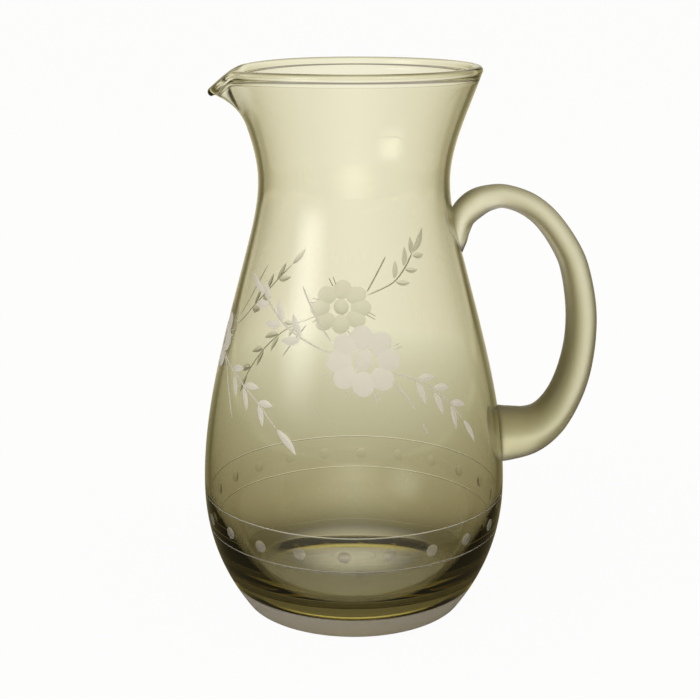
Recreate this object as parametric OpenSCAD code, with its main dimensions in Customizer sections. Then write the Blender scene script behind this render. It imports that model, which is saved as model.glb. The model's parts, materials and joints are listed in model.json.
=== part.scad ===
// Blown glass cocktail pitcher with a pulled pouring lip and an applied rod handle.
// Units are millimetres. The base rests on z = 0, the pitcher's axis is Z,
// the handle stands out along +X and the spout along -X.

/* [Body] */
// Height from the table to the top of the rim bead
total_h = 235; // [120:1:320]
// Diameter of the flat foot, measured where the wall would meet the table
base_d = 96.2; // [50:0.5:130]
// Radius of the rounded heel round the foot
heel_r = 2.6; // [1:0.1:6]
// How fast the wall opens just above the heel, radius gained per height
heel_slope = 0.73; // [0.2:0.01:1.2]
// Widest diameter of the belly
belly_d = 131.9; // [80:0.5:180]
// Height of the widest place
belly_z = 53.9; // [30:0.5:110]
// Diameter of the shoulder, where the wall leans in the most
shoulder_d = 90.2; // [60:0.5:150]
// Height of that place on the shoulder
shoulder_z = 160.2; // [90:0.5:200]
// Radius lost per height at the shoulder
shoulder_slope = 0.264; // [0.05:0.01:0.6]
// Narrowest diameter of the neck
neck_d = 80.8; // [50:0.5:120]
// Height of the narrowest place
neck_z = 187.6; // [120:0.5:240]
// Outer diameter across the rim bead
rim_d = 106.4; // [70:0.5:150]
// How fast the wall flares at the rim, radius gained per height
rim_slope = 0.33; // [0:0.01:0.8]

/* [Glass thickness] */
// Wall thickness just under the rim
rim_wall = 2.3; // [1.5:0.1:4]
// Wall thickness at the belly
belly_wall = 2.4; // [1.5:0.1:5]
// Wall thickness low down, where the round bottom of the bowl begins
low_wall = 6; // [2:0.1:12]
// Thickness of the solid glass bottom
base_t = 6; // [5:0.5:25]
// Height over which the wall rounds into the bottom
cove_h = 16; // [10:0.5:50]
// How square the cove inside is: 2 is an ellipse, more is squarer
cove_power = 3; // [2:0.1:5]
// Radius of the fire-polished bead round the rim
bead_r = 1.9; // [1:0.1:3.5]

/* [Spout] */
// How far the lip is pulled out past the rim
spout_pull = 7.6; // [2:0.1:16]
// How far the lip drops below the rim
spout_drop = 7.6; // [0:0.1:16]
// Gentle dip of the rim on both sides of the lip
rim_dip = 1.5; // [0:0.1:4]
// Half the width of the lip, as an angle about the axis
spout_half = 11; // [6:0.5:25]
// Half the width of the gentle dip, as an angle about the axis
dip_half = 40; // [20:1:70]
// Height of neck that is pulled along with the lip
spout_h = 23; // [10:0.5:50]
// How far the bead rolls over at the tip of the lip, in degrees
lip_roll = 45; // [0:1:70]

/* [Cut lines] */
// Height of the upper cut line round the belly
upper_line_z = 52.1; // [30:0.1:120]
// Height of the lower cut line round the belly
lower_line_z = 36.8; // [20:0.1:110]
// Width of the cut lines
line_w = 0.8; // [0.4:0.1:2]
// Depth of the cut lines
line_depth = 0.3; // [0.1:0.05:0.8]

/* [Handle] */
// Thickness of the glass rod half way down the handle
handle_t = 13.8; // [8:0.1:22]
// Width of the rod across the handle
handle_w = 12.8; // [8:0.1:22]
// Distance from the pitcher's axis to the middle of the rod at its farthest
handle_reach = 98; // [80:0.5:140]
// Height where the rod joins the neck
handle_top_z = 168; // [110:0.5:220]
// Height where the rod joins the belly
handle_low_z = 75.3; // [50:0.5:120]

/* [Hidden] */
// Columns of the glass surface: fine across the lip, wider elsewhere
lip_zone = 30;
lip_cols = 24;
side_cols = 25;
cols = lip_cols + 2 * side_cols;
// Points round the rod and steps between its stations
rod_cols = 24;
rod_steps = 3;

rim_z = total_h - bead_r;
rim_mid_r = rim_d / 2 - bead_r;
spout_z = rim_z - spout_h;
cove_z = base_t + cove_h;
// How late the wall thickens on its way down: 1 is evenly, more is later
low_power = 1.5;
// Height over which the outline's slope is measured
slope_step = 0.1;
// Height below the middle of the bead where the plain wall ends
neck_of_bead = 1.7 * bead_r;

// Cubic between two places, each given as [height, radius, slope]
function between(a, b, z) =
    let (h = b[0] - a[0], t = (z - a[0]) / h)
    (2*t*t*t - 3*t*t + 1) * a[1]
    + (t*t*t - 2*t*t + t) * h * a[2]
    + (3*t*t - 2*t*t*t) * b[1]
    + (t*t*t - t*t) * h * b[2];

// Places that fix the outline of the body, from the foot to the rim
places = [
    [0, base_d / 2, heel_slope],
    [belly_z, belly_d / 2, 0],
    [shoulder_z, shoulder_d / 2, -shoulder_slope],
    [neck_z, neck_d / 2, 0],
    [rim_z, rim_d / 2, rim_slope],
];

// Outer radius of the body at a height
function skin(z) =
    z < belly_z ? between(places[0], places[1], z)
    : z < shoulder_z ? between(places[1], places[2], z)
    : z < neck_z ? between(places[2], places[3], z)
    : between(places[3], places[4], z);

// Slope of the outline at a height
function lean(z) = (skin(z + slope_step) - skin(z - slope_step)) / (2 * slope_step);

// Wall thickness at a height: thinner towards the rim, and thicker below the belly,
// where the molten glass sagged
function wall(z) =
    belly_wall
    + (rim_wall - belly_wall) * min(1, max(0, (z - belly_z) / (rim_z - belly_z)))
    + (low_wall - belly_wall) * pow(max(0, (belly_z - z) / (belly_z - cove_z)), low_power);

// Inner radius of the wall at a height, before the cove takes over
function bore(z) = skin(z) - wall(z) * sqrt(1 + pow(lean(z), 2));

function span(z0, z1, steps) = [for (i = [0:steps]) z0 + (z1 - z0) * i / steps];

// Heel: an arc that leaves the table flat and meets the wall smoothly
heel_end = -atan(heel_slope);
heel_mid_r = base_d / 2 - heel_r * tan((90 + heel_end) / 2);
heel = [for (a = span(-90, heel_end, 3)) [heel_mid_r + heel_r * cos(a), heel_r + heel_r * sin(a), 0]];
heel_top = heel_r + heel_r * sin(heel_end);

// A cut line: a V between its two edges
function cut_line(z) = [
    [skin(z - line_w / 2), z - line_w / 2, 0],
    [skin(z) - line_depth, z, 0],
    [skin(z + line_w / 2), z + line_w / 2, 0],
];

function wall_rows(heights) = [for (z = heights) [skin(z), z, 0]];
function inner(list) = [for (i = [1:len(list) - 2]) list[i]];
function after(list) = [for (i = [1:len(list) - 1]) list[i]];

// Rows of the section, each [radius, height, bead angle or 0]: outside going up
low_rows = concat(
    heel,
    wall_rows(inner(span(heel_top, lower_line_z - line_w / 2, 6))),
    cut_line(lower_line_z),
    wall_rows(inner(span(lower_line_z + line_w / 2, upper_line_z - line_w / 2, 3))),
    cut_line(upper_line_z)
);
body_rows = wall_rows(after(span(upper_line_z + line_w / 2, spout_z, 20)));
throat_rows = wall_rows(after(span(spout_z, rim_z - neck_of_bead, 5)));
// the bead round the rim, where the third value turns it about its own middle
bead = [for (a = span(-35, 215, 8)) [rim_mid_r, rim_z, a + 360]];
// inside going down to the middle of the floor
inner_rows = concat(
    [for (z = span(rim_z - neck_of_bead, spout_z, 5)) [bore(z), z, 0]],
    [for (z = after(span(spout_z, cove_z, 16))) [bore(z), z, 0]],
    [for (a = [14:11:80])
        let (z = cove_z - cove_h * pow(sin(a), 2 / cove_power))
        [bore(z) * pow(cos(a), 2 / cove_power), z, 0]]
);
rows = concat(low_rows, body_rows, throat_rows, bead, inner_rows);

// Columns as angles about the axis, from the handle at 0 round to the spout at 180
angles = concat(
    [for (i = [0:side_cols - 1]) (180 - lip_zone) * i / side_cols],
    [for (i = [0:lip_cols - 1]) 180 - lip_zone + 2 * lip_zone * i / lip_cols],
    [for (i = [0:side_cols - 1]) 180 + lip_zone + (180 - lip_zone) * i / side_cols]
);

// Shape of the lip and of the dip across the spout
function lip(a) = exp(-pow((a - 180) / spout_half, 2));
function dip(a) = exp(-pow((a - 180) / dip_half, 2));

// A row's point after the lip is pulled out and down, at the angle a
function glass(row, a) =
    let (
        rise = min(1, max(0, (row[1] - spout_z) / spout_h)),
        turn = row[2] - lip_roll * lip(a),
        r = row[0] + spout_pull * lip(a) * pow(rise, 2) + (row[2] > 0 ? bead_r * cos(turn) : 0),
        z = row[1] - (spout_drop * lip(a) + rim_dip * dip(a)) * pow(rise, 1.6)
            + (row[2] > 0 ? bead_r * sin(turn) : 0)
    )
    [r * cos(a), r * sin(a), z];

// The vessel: one closed surface from the foot, over the rim and down to the floor inside
module vessel() {
    n = len(rows);
    points = concat(
        [[0, 0, 0]],
        [for (row = rows, a = angles) glass(row, a)],
        [[0, 0, base_t]]
    );
    function at(i, j) = 1 + i * cols + j % cols;
    faces = concat(
        [for (j = [0:cols - 1]) [0, at(0, j), at(0, j + 1)]],
        [for (i = [0:n - 2], j = [0:cols - 1]) each
            [[at(i, j), at(i + 1, j), at(i + 1, j + 1)], [at(i, j), at(i + 1, j + 1), at(i, j + 1)]]],
        [for (j = [0:cols - 1]) [1 + n * cols, at(n - 1, j + 1), at(n - 1, j)]]
    );
    color([0.62, 0.60, 0.42, 0.55]) polyhedron(points = points, faces = faces, convexity = 10);
}

// The body's outside next to the handle as a solid wedge, with the same facets as the vessel
module handle_side() {
    first = len(low_rows) - 1;
    seat_rows = [for (i = [first:first + len(body_rows)]) rows[i]];
    seat_angles = [for (j = [-6:6]) angles[(j + cols) % cols]];
    m = len(seat_rows);
    w = len(seat_angles);
    points = concat(
        [for (row = seat_rows, a = seat_angles) glass(row, a)],
        [for (row = seat_rows) [0, 0, row[1]]]
    );
    function at(i, j) = i * w + j;
    function axis(i) = m * w + i;
    faces = concat(
        [for (i = [0:m - 2], j = [0:w - 2]) each
            [[at(i, j), at(i + 1, j), at(i + 1, j + 1)], [at(i, j), at(i + 1, j + 1), at(i, j + 1)]]],
        [for (j = [0:w - 2]) [axis(0), at(0, j), at(0, j + 1)]],
        [for (j = [0:w - 2]) [axis(m - 1), at(m - 1, j + 1), at(m - 1, j)]],
        [for (i = [0:m - 2]) each
            [[axis(i), axis(i + 1), at(i + 1, 0)], [axis(i), at(i + 1, 0), at(i, 0)]]],
        [for (i = [0:m - 2]) each
            [[axis(i), at(i + 1, w - 1), axis(i + 1)], [axis(i), at(i, w - 1), at(i + 1, w - 1)]]]
    );
    polyhedron(points = points, faces = faces, convexity = 6);
}

// Stations along the rod from the sheared tail on the neck, over the top, to the belly.
// Along X a share of the way from the wall to the reach, along Z a share of the way
// from the lower joint to the upper one, then the shares of thickness and of width.
neck_shares = [
    [0.040, 0.874, 0.16, 0.24],
    [0.028, 0.919, 0.50, 0.60],
    [0.026, 0.978, 0.70, 0.84],
    [0.057, 1.046, 0.84, 0.97],
    [0.148, 1.099, 0.89, 0.98],
    [0.259, 1.127, 0.79, 0.94],
    [0.387, 1.132, 0.72, 0.92],
    [0.567, 1.093, 0.74, 0.91],
    [0.725, 1.014, 0.77, 0.91],
    [0.876, 0.883, 0.83, 0.92],
    [0.949, 0.769, 0.89, 0.94],
    [0.998, 0.606, 0.96, 0.97],
];
belly_shares = [
    [0.997, 0.448, 1.00, 1.00],
    [0.922, 0.292, 1.08, 1.05],
    [0.788, 0.167, 1.16, 1.13],
    [0.599, 0.071, 1.33, 1.33],
    [0.357, 0.017, 1.58, 1.64],
    [0.073, 0.000, 1.76, 1.95],
    [-0.136, -0.001, 1.86, 2.10],
];

function station(share, wall_x) = [
    wall_x + share[0] * (handle_reach - wall_x),
    handle_low_z + share[1] * (handle_top_z - handle_low_z),
    share[2] * handle_t,
    share[3] * handle_w,
];

stations = concat(
    [for (s = neck_shares) station(s, skin(handle_top_z))],
    [for (s = belly_shares) station(s, skin(handle_low_z))]
);

// A smooth value through four neighbours, and the list of stations it gives
function smooth(a, b, c, d, t) =
    b + 0.5 * t * (c - a + t * (2*a - 5*b + 4*c - d + t * (3*(b - c) + d - a)));

rod = let (n = len(stations))
    [for (i = [0:n - 2], k = [0:rod_steps - 1])
        smooth(stations[max(0, i - 1)], stations[i], stations[i + 1], stations[min(n - 1, i + 2)],
            k / rod_steps),
     stations[n - 1]];

// The handle: a glass rod of changing section, fused to the body at both ends
module handle() {
    m = len(rod);
    // direction of the rod at each station, in the XZ plane
    ways = [for (i = [0:m - 1])
        let (d = rod[min(m - 1, i + 1)] - rod[max(0, i - 1)], l = norm([d[0], d[1]]))
        [d[0] / l, d[1] / l]];
    points = concat(
        [for (i = [0:m - 1], k = [0:rod_cols - 1])
            let (a = 360 * k / rod_cols, off = rod[i][2] / 2 * cos(a))
            [rod[i][0] - ways[i][1] * off, rod[i][3] / 2 * sin(a), rod[i][1] + ways[i][0] * off]]
    );
    function at(i, k) = i * rod_cols + k % rod_cols;
    faces = concat(
        [[for (k = [rod_cols - 1:-1:0]) at(0, k)]],
        [for (i = [0:m - 2], k = [0:rod_cols - 1]) each
            [[at(i, k), at(i + 1, k + 1), at(i + 1, k)], [at(i, k), at(i, k + 1), at(i + 1, k + 1)]]],
        [[for (k = [0:rod_cols - 1]) at(m - 1, k)]]
    );
    color([0.66, 0.64, 0.46, 0.7]) difference() {
        polyhedron(points = points, faces = faces, convexity = 10);
        handle_side();
    }
}

vessel();
handle();
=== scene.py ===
"""A blown olive glass cocktail pitcher with wheel-cut flowers, on a pale paper floor.

The body and the handle are built here as clear glass, each a closed mesh, in the places of the
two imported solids. The wheel-cut pattern is carved out of the body with small cutters.
"""

import json
import logging
import math
from dataclasses import dataclass, field
from enum import Enum

import bpy
import numpy as np
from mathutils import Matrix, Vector
from mathutils.kdtree import KDTree

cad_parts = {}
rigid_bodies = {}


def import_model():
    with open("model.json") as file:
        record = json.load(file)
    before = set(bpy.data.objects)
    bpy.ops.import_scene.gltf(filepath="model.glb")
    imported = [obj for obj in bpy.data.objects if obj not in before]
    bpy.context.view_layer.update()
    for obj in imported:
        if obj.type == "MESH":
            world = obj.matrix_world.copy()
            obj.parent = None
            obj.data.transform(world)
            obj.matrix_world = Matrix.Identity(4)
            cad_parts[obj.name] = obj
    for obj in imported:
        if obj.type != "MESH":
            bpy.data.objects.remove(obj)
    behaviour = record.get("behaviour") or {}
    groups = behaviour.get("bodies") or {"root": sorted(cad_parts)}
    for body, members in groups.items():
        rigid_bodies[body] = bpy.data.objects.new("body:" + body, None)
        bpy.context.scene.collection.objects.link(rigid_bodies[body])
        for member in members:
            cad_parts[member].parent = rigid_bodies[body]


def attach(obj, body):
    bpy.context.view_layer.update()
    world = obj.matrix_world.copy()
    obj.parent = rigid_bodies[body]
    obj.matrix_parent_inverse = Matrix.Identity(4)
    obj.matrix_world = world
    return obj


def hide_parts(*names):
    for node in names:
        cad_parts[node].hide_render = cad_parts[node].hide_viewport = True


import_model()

logging.basicConfig(level=logging.INFO, format="%(message)s")
LOG = logging.getLogger("pitcher")

# one millimetre in scene units
MM = 0.001
# keeps a length of nothing from being divided by
TINY = 1e-12

# short names for types that many functions take
Point = tuple[float, float]
Tree = bpy.types.NodeTree
Shader = bpy.types.Node
Socket = bpy.types.NodeSocket


class Node(Enum):
    """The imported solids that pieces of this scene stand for."""

    BODY = "vessel"
    HANDLE = "handle"


class Slot(Enum):
    """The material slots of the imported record."""

    BODY = "body_glass"
    HANDLE = "handle_glass"


class Edge(Enum):
    """The shape ground on the rim of the cutting wheel, as the cut's depth for its half width."""

    LEAF = 0.26
    LINE = 0.6


def linear(colour: str) -> tuple[float, float, float, float]:
    """Turns an sRGB hex colour into the linear numbers that a shader takes.

    Args:
        colour: six hex digits, with or without a leading hash.

    Returns:
        Linear red, green, blue and an alpha of one.
    """
    digits = colour.lstrip("#")
    shares = [int(digits[i : i + 2], 16) / 255 for i in (0, 2, 4)]
    red, green, blue = (
        share / 12.92 if share <= 0.04045 else ((share + 0.055) / 1.055) ** 2.4 for share in shares
    )
    return (red, green, blue, 1.0)


def add_node(
    tree: Tree, kind: str, inputs: dict[str | int, object] | None = None, **settings: object
) -> Shader:
    """Adds one shader node.

    Args:
        tree: the node tree that gets it.
        kind: Blender's name for the node's type.
        inputs: what each input takes: a value, a socket, or a node whose first output feeds it.
        settings: the node's own settings.

    Returns:
        The new node.
    """
    node = tree.nodes.new(kind)
    for name, setting in settings.items():
        setattr(node, name, setting)
    for name, feed in (inputs or {}).items():
        source = feed.outputs[0] if isinstance(feed, Shader) else feed
        if isinstance(source, Socket):
            tree.links.new(source, node.inputs[name])
        else:
            node.inputs[name].default_value = source
    return node


def blank_tree(owner: bpy.types.Material | bpy.types.World | bpy.types.Light) -> Tree:
    """Empties the nodes of a material, world or lamp.

    Args:
        owner: what the nodes belong to.

    Returns:
        Its node tree, with no node in it.
    """
    owner.use_nodes = True
    owner.node_tree.nodes.clear()
    return owner.node_tree


def bring_in(name: str, data: bpy.types.ID) -> bpy.types.Object:
    """Brings a mesh, lamp or camera into the scene.

    Args:
        name: the object's name.
        data: the mesh, lamp or camera.

    Returns:
        The object.
    """
    holder = bpy.data.objects.new(name, data)
    bpy.context.scene.collection.objects.link(holder)
    return holder


def make_object(name: str, points: np.ndarray, faces: list[list[int]]) -> bpy.types.Object:
    """Makes a smooth mesh object.

    Args:
        name: the object's name.
        points: corner places in millimetres, one row each.
        faces: the corners of each face, seen from outside anticlockwise.

    Returns:
        The object, linked into the scene.
    """
    mesh = bpy.data.meshes.new(name)
    mesh.from_pydata((points * MM).tolist(), [], faces)
    mesh.validate()
    mesh.shade_smooth()
    return bring_in(name, mesh)


def grid_faces(rows: int, cols: int, around: bool = True) -> list[list[int]]:
    """Quads between the rows of a grid of points.

    Args:
        rows: how many rows there are.
        cols: how many points a row has.
        around: whether the last column joins the first.

    Returns:
        The faces, as indices into the rows laid end to end.
    """
    last = cols if around else cols - 1
    return [
        [i * cols + j, i * cols + (j + 1) % cols, (i + 1) * cols + (j + 1) % cols, (i + 1) * cols + j]
        for i in range(rows - 1)
        for j in range(last)
    ]


def capped_faces(rows: int, cols: int) -> list[list[int]]:
    """Faces of a grid of points that two more points close at its ends.

    Args:
        rows: how many rows the grid has.
        cols: how many points a row has.

    Returns:
        The faces, where the two points come after the grid, the one for the first row first.
    """
    low, high, base = rows * cols, rows * cols + 1, (rows - 1) * cols
    faces = grid_faces(rows, cols)
    faces += [[low, (j + 1) % cols, j] for j in range(cols)]
    faces += [[high, base + j, base + (j + 1) % cols] for j in range(cols)]
    return faces


def spread(arcs: tuple[tuple[float, float, int], ...]) -> np.ndarray:
    """Angles along a few arcs.

    Args:
        arcs: each arc's first angle, last angle and count, in degrees.

    Returns:
        All the angles in radians.
    """
    return np.radians(np.concatenate([np.linspace(first, last, count) for first, last, count in arcs]))


def grid_normals(grid: np.ndarray) -> np.ndarray:
    """Smooth normals of a grid of points that closes on itself along its second axis.

    Args:
        grid: points, as rows by columns by three.

    Returns:
        Unit normals in the same layout.
    """
    across = np.roll(grid, -1, axis=1) - np.roll(grid, 1, axis=1)
    step = np.diff(grid, axis=0)
    length = np.maximum(np.linalg.norm(step, axis=2, keepdims=True), TINY)
    along = np.empty_like(grid)
    along[0] = step[0]
    along[-1] = step[-1]
    along[1:-1] = step[1:] * length[:-1] / length[1:] + step[:-1] * length[1:] / length[:-1]
    normal = np.cross(across, along)
    return normal / np.maximum(np.linalg.norm(normal, axis=2, keepdims=True), TINY)


def through(points: np.ndarray | tuple[Point, ...], steps: int, run_on: bool = True) -> np.ndarray:
    """A smooth line through a few points.

    Args:
        points: the points to pass through, two or more.
        steps: steps between neighbours.
        run_on: whether the line leaves its ends straight on, or as if it stopped there.

    Returns:
        Points on the line, one row each.
    """
    knots = np.array(points, dtype=float)
    first, last = knots[0], knots[-1]
    if run_on:
        first, last = 2 * first - knots[1], 2 * last - knots[-2]
    padded = np.vstack([first, knots, last])
    line = []
    for a, b, c, d in zip(padded, padded[1:], padded[2:], padded[3:]):
        for share in np.arange(steps) / steps:
            bend = 2 * a - 5 * b + 4 * c - d + share * (3 * (b - c) + d - a)
            line.append(b + 0.5 * share * (c - a + share * bend))
    return np.array(line + [knots[-1]])


def read(items: bpy.types.bpy_prop_collection, name: str, width: int = 1, kind: type = float) -> np.ndarray:
    """Reads one property of all items of a mesh.

    Args:
        items: the vertices, corners or faces.
        name: the property's name.
        width: how many numbers it has.
        kind: the type of number.

    Returns:
        One value or row for each item.
    """
    values = np.zeros(len(items) * width, dtype=kind)
    items.foreach_get(name, values)
    return values.reshape(-1, width) if width > 1 else values


@dataclass(frozen=True)
class Glass:
    """Blown soda-lime glass tinted olive in the melt, with wheel-ground cuts left unpolished.

    The tint lies in the glass, so thick places and edges go darker and yellower. Fire polish
    leaves the skin perfectly smooth, and the wheel's grit leaves the cuts an even pale mist.
    """

    name: str = "olive_soda_lime_glass"
    ior: float = 1.52
    polished_roughness: float = 0.0
    ground_roughness: float = 0.45
    # the ground attribute's value at which the grinding is fully rough
    fully_rough: float = 0.4
    # the share of light that fully ground glass lets through, where the rest scatters white
    ground_clear: float = 0.3
    # the same share where the ground face is seen from inside the glass
    inner_clear: float = 0.95
    # what is left of white light after one absorption length
    tint: str = "E6DE90"
    # absorption lengths in a metre of glass
    tint_density: float = 60.0

    def material(self) -> bpy.types.Material:
        """Builds the glass.

        Returns:
            The material, which reads the mesh's ground attribute for its cuts.
        """
        material = bpy.data.materials.new(self.name)
        tree = blank_tree(material)
        ground = add_node(tree, "ShaderNodeAttribute", attribute_name="ground").outputs["Fac"]
        rough = add_node(
            tree,
            "ShaderNodeMapRange",
            {
                "Value": ground,
                "From Max": self.fully_rough,
                "To Min": self.polished_roughness,
                "To Max": self.ground_roughness,
            },
        )
        least = add_node(
            tree,
            "ShaderNodeMath",
            {
                0: add_node(tree, "ShaderNodeNewGeometry").outputs["Backfacing"],
                1: self.inner_clear - self.ground_clear,
                2: self.ground_clear,
            },
            operation="MULTIPLY_ADD",
        )
        clear = add_node(tree, "ShaderNodeMapRange", {"Value": ground, "To Min": 1.0, "To Max": least})
        surface = add_node(
            tree,
            "ShaderNodeBsdfPrincipled",
            {
                "Base Color": linear("FFFFFF"),
                "IOR": self.ior,
                "Roughness": rough,
                "Transmission Weight": clear,
            },
        )
        inside = add_node(
            tree, "ShaderNodeVolumeAbsorption", {"Color": linear(self.tint), "Density": self.tint_density}
        )
        add_node(tree, "ShaderNodeOutputMaterial", {"Surface": surface, "Volume": inside})
        return material


@dataclass(frozen=True)
class RodGlass(Glass):
    """Paler glass of the same kind, drawn into a rod by hand, which leaves its skin uneven.

    The rod shows soft bands of light and dark where the smooth body shows sharp ones.
    """

    name: str = "pale_olive_soda_lime_glass"
    polished_roughness: float = 0.38
    tint_density: float = 25.0


@dataclass(frozen=True)
class Paper:
    """Matt white backdrop paper, rolled out under the object and up behind it.

    The camera sees it white. The glass sees painted light and shade on it in place of its lit look:
    white far off, a painted grey close by, painted dark to both sides and lighter again beyond
    them, with a painted shadow round the foot and a painted pool of light under it.
    """

    name: str = "white_backdrop_paper"
    colour: str = "F4F3F0"
    camera_share: float = 0.95
    # the painted shade beside the object as the glass sees it, and how that painted light grows
    # whiter with the distance before or behind, in metres: the first by that distance, the second by
    # its square
    near_shade_colour: str = "938A6C"
    whiter: tuple[float, float, float] = (0.82, 0.87, 0.57)
    faster: tuple[float, float, float] = (1.1, 1.15, 1.5)
    # the painted light far off, where it stops growing whiter
    far_colour: str = "FAF7E3"
    # how wide the painted bright part is at the object, and how that grows with the distance
    edge: float = 0.13
    edge_grow: float = 0.48
    # how bright the painted dark sides are at the object, and how that changes with the distance
    side_share: float = 0.28
    side_grow: float = -0.08
    # where painted room light brightens the paper again beyond the dark sides, and how much of it
    beyond_from: float = 0.8
    beyond_to: float = 1.5
    beyond_share: float = 0.6
    # the brown that the painted shade of the dark sides leans to
    side_shade_tint: str = "F5E6A8"
    # a painted shadow of the object on the paper round its foot
    shadow_inner: float = 0.045
    shadow_outer: float = 0.12
    shadow_share: float = 0.4
    # a painted pool of the light that the glass would gather on the paper under its foot
    glow_colour: str = "BCB8B0"
    glow_at: float = 0.03
    glow_inner: float = 0.01
    glow_outer: float = 0.05

    def sideways(self, tree: Tree, across: Socket, away: Shader) -> Shader:
        """Works out the share of the painted light that each place keeps, by how far it lies to the side.

        Args:
            tree: the node tree.
            across: how far the place lies to the right.
            away: how far it lies before or behind the object.

        Returns:
            The node with that share.
        """
        off = add_node(tree, "ShaderNodeMath", {0: across}, operation="ABSOLUTE")
        edge, least = (
            add_node(tree, "ShaderNodeMath", {0: away, 1: grow, 2: start}, operation="MULTIPLY_ADD")
            for grow, start in ((self.edge_grow, self.edge), (self.side_grow, self.side_share))
        )
        near = {"Value": off, "From Max": edge, "To Min": 1.0, "To Max": least}
        far = {
            "Value": off,
            "From Min": self.beyond_from,
            "From Max": self.beyond_to,
            "To Max": self.beyond_share,
        }
        within, beyond = (
            add_node(tree, "ShaderNodeMapRange", inputs, interpolation_type="SMOOTHSTEP")
            for inputs in (near, far)
        )
        return add_node(tree, "ShaderNodeMath", {0: within, 1: beyond}, operation="MAXIMUM")

    def paint_by_distance(self, tree: Tree, away: Shader) -> Shader:
        """Works out the painted light on the paper: a painted grey near the object, whiter with the distance.

        Args:
            tree: the node tree.
            away: how far a place lies before or behind the object.

        Returns:
            The node with the painted light.
        """
        near, far = (linear(colour)[:3] for colour in (self.near_shade_colour, self.far_colour))
        slope = add_node(
            tree, "ShaderNodeVectorMath", {0: away, 1: self.faster, 2: self.whiter}, operation="MULTIPLY_ADD"
        )
        rise = add_node(tree, "ShaderNodeVectorMath", {0: slope, 1: away, 2: near}, operation="MULTIPLY_ADD")
        return add_node(tree, "ShaderNodeVectorMath", {0: rise, 1: far}, operation="MINIMUM")

    def at_foot(self, tree: Tree, place: Socket, colour: Shader) -> Shader:
        """Paints a shadow on the paper round the foot, and a pool of painted light where the glass would
        gather it.

        Args:
            tree: the node tree.
            place: the place on the paper.
            colour: the painted light on the paper there.

        Returns:
            The node with the painted shadow and pool of light added.
        """
        around = add_node(tree, "ShaderNodeVectorMath", {0: place}, operation="LENGTH")
        apart = add_node(
            tree, "ShaderNodeVectorMath", {0: place, 1: (0.0, self.glow_at, 0.0)}, operation="DISTANCE"
        )
        shadow, under = (
            add_node(
                tree,
                "ShaderNodeMapRange",
                {
                    "Value": node.outputs["Value"],
                    "From Min": inner,
                    "From Max": outer,
                    "To Min": first,
                    "To Max": last,
                },
                interpolation_type="SMOOTHSTEP",
            )
            for node, inner, outer, first, last in (
                (around, self.shadow_inner, self.shadow_outer, self.shadow_share, 1.0),
                (apart, self.glow_inner, self.glow_outer, 1.0, 0.0),
            )
        )
        shaded = add_node(tree, "ShaderNodeVectorMath", {0: colour, 1: shadow}, operation="MULTIPLY")
        glow = add_node(
            tree, "ShaderNodeVectorMath", {0: under, 1: linear(self.glow_colour)[:3]}, operation="MULTIPLY"
        )
        return add_node(tree, "ShaderNodeVectorMath", {0: shaded, 1: glow}, operation="MAXIMUM")

    def field(self, tree: Tree) -> Shader:
        """Works out the painted light and shade that the glass sees at each place on the paper.

        Args:
            tree: the node tree.

        Returns:
            The node with that light.
        """
        place = add_node(tree, "ShaderNodeNewGeometry").outputs["Position"]
        split = add_node(tree, "ShaderNodeSeparateXYZ", {0: place}).outputs
        away = add_node(tree, "ShaderNodeMath", {0: split["Y"]}, operation="ABSOLUTE")
        share = self.sideways(tree, split["X"], away)
        colour = self.at_foot(tree, place, self.paint_by_distance(tree, away))
        # the painted shade of the dark sides leans to this brown
        brown = linear(self.side_shade_tint)[:3]
        rest = [1 - value for value in brown]
        tone = add_node(tree, "ShaderNodeVectorMath", {0: share, 1: rest, 2: brown}, operation="MULTIPLY_ADD")
        toned = add_node(tree, "ShaderNodeVectorMath", {0: colour, 1: tone}, operation="MULTIPLY")
        return add_node(tree, "ShaderNodeEmission", {"Color": toned, "Strength": share})

    def material(self) -> bpy.types.Material:
        """Builds the paper.

        Returns:
            The material: matt paper, mixed with plain white by the kind of ray.
        """
        material = bpy.data.materials.new(self.name)
        tree = blank_tree(material)
        paper = add_node(tree, "ShaderNodeBsdfDiffuse", {"Color": linear(self.colour), "Roughness": 1.0})
        white = add_node(tree, "ShaderNodeEmission", {"Color": linear("FFFFFF"), "Strength": 1.0})
        mix = by_ray(tree, paper, self.field(tree), white, self.camera_share)
        add_node(tree, "ShaderNodeOutputMaterial", {"Surface": mix})
        return material


def by_ray(tree: Tree, plain: Shader, in_glass: Shader, seen: Shader, camera_share: float) -> Shader:
    """Mixes three looks of a background by the kind of ray.

    Args:
        tree: the node tree.
        plain: the look that lights matt things.
        in_glass: the look in mirrored and refracted rays.
        seen: the look for the camera.
        camera_share: how much of the camera's view is that last look.

    Returns:
        The node with the mixed shader.
    """
    path = add_node(tree, "ShaderNodeLightPath").outputs
    either = {0: path["Is Glossy Ray"], 1: path["Is Transmission Ray"]}
    glass = add_node(tree, "ShaderNodeMath", either, operation="MAXIMUM")
    camera = add_node(
        tree, "ShaderNodeMath", {0: path["Is Camera Ray"], 1: camera_share}, operation="MULTIPLY"
    )
    dull = add_node(tree, "ShaderNodeMixShader", {0: glass, 1: plain, 2: in_glass})
    return add_node(tree, "ShaderNodeMixShader", {0: camera, 1: dull, 2: seen})


@dataclass(frozen=True)
class Place:
    """A height where the body's outline is fixed, with its radius and slope there."""

    height: float
    radius: float
    slope: float


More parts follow.
